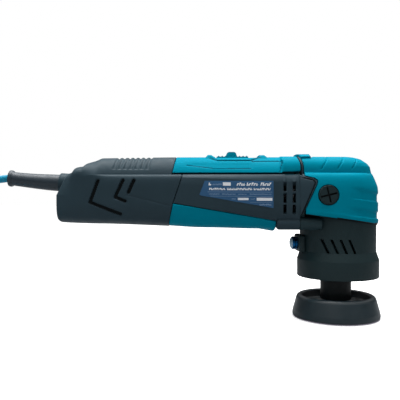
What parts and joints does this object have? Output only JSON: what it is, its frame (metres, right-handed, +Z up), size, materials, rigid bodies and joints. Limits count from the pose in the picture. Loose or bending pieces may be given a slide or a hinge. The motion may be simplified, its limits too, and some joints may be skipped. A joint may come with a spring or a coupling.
{
  "type": "dual action polisher",
  "caption": "Corded compact dual action polisher with a right-angle head, an eccentric drive and a round hook-faced backing plate.",
  "frame": {"origin": "main spindle axis where it meets the plane of the backing plate's working face", "axes": "+X towards the front of the head, +Z up along the spindle, -Z out of the backing plate's working face"},
  "size_m": [0.5528, 0.0952, 0.143],
  "materials": {
    "black_shell": "satin moulded polymer",
    "teal_shell": "satin moulded polymer",
    "label": "metallic blue sticker",
    "cast_aluminium": "die cast",
    "plated_screws": "zinc plated",
    "steel": "ground",
    "bearing_steel": "polished",
    "gear_steel": "case hardened",
    "counterweight_iron": "cast",
    "lamination_steel": "stacked sheet",
    "copper_wire": "enamelled wire",
    "copper_bars": "bare copper",
    "brass": "stamped",
    "carbon": "graphite",
    "grey_polymer": "moulded",
    "circuit_board": "glass fibre board",
    "film_capacitor": "moulded box",
    "pad_hub": "satin",
    "pad_rubber": "semi gloss moulded",
    "hook_fastener": "hook fastener",
    "anodised_blue": "blue anodised",
    "boot_rubber": "semi gloss",
    "cord_jacket": "smooth jacket",
    "plug_rubber": "moulded",
    "pin_metal": "nickel plated"
  },
  "bodies": {
    "frame": {"rear_shell_left": "black_shell", "rear_shell_right": "black_shell", "motor_housing": "black_shell", "top_cover": "teal_shell", "lower_panel": "teal_shell", "label_plate": "label", "gear_housing": "cast_aluminium", "head_cover": "teal_shell", "bell_skirt": "black_shell", "handle_plug_left": "black_shell", "handle_plug_right": "black_shell", "gearbox_screws": "plated_screws", "rear_shell_screws": "plated_screws", "skirt_screws": "plated_screws", "stator_core": "lamination_steel", "field_coils": "copper_wire", "fan_baffle": "grey_polymer", "motor_bearings": "bearing_steel", "brush_holders": "brass", "carbon_brushes": "carbon", "brush_springs": "steel", "spindle_bearing_upper": "bearing_steel", "spindle_bearing_lower": "bearing_steel", "bearing_retainer": "steel", "retainer_screws": "plated_screws", "lock_spring": "steel", "switch_body": "grey_polymer", "speed_board": "circuit_board", "suppression_capacitor": "film_capacitor", "cord_clamp": "grey_polymer", "clamp_screws": "plated_screws", "strain_relief": "boot_rubber", "cord_inner": "cord_jacket", "cord_lead": "cord_jacket", "cord_coil": "cord_jacket", "cord_tail": "cord_jacket", "plug_body": "plug_rubber", "plug_pins": "pin_metal"},
    "drive": {"main_spindle": "steel", "bevel_gear": "gear_steel", "eccentric_hub": "cast_aluminium", "counterweight": "counterweight_iron", "counterweight_screws": "plated_screws", "eccentric_bearings": "bearing_steel", "bearing_circlip": "steel"},
    "output": {"output_spindle": "steel", "pad_hub": "pad_hub", "pad_body": "pad_rubber", "pad_hook_face": "hook_fastener"},
    "armature": {"armature_shaft": "steel", "armature_core": "lamination_steel", "armature_windings": "copper_wire", "commutator": "copper_bars", "cooling_fan": "grey_polymer", "drive_pinion": "gear_steel"},
    "switch_slider": {"slider_knob": "teal_shell", "switch_rod": "steel"},
    "dial": {"speed_dial": "grey_polymer"},
    "lock": {"lock_button": "anodised_blue", "lock_pin": "steel"}
  },
  "joints": [
    {"name": "spindle_spin", "type": "hinge", "parent": "frame", "child": "drive", "pos_m": [0, 0, 0.08], "axis": [0, 0, 1], "continuous": true},
    {"name": "output_spin", "type": "hinge", "parent": "drive", "child": "output", "pos_m": [-0.0015, 0, 0.05], "axis": [0, 0, 1], "continuous": true},
    {"name": "armature_spin", "type": "hinge", "parent": "frame", "child": "armature", "pos_m": [-0.09, 0, 0.106], "axis": [1, 0, 0], "continuous": true},
    {"name": "switch_slide", "type": "slide", "parent": "frame", "child": "switch_slider", "axis": [1, 0, 0], "range_m": [0, 0.008]},
    {"name": "dial_turn", "type": "hinge", "parent": "frame", "child": "dial", "pos_m": [-0.222, 0, 0.1246], "axis": [0, 1, 0], "range_deg": [0, 270]},
    {"name": "lock_press", "type": "slide", "parent": "frame", "child": "lock", "axis": [1, 0, 0], "range_m": [0, 0.003], "stiffness_N_per_m": 900, "springref_m": -0.002, "deforming": ["lock_spring"]}
  ],
  "couplings": [
    {"joint": "armature_spin", "follows": "spindle_spin", "ratio": -3.7273}
  ]
}
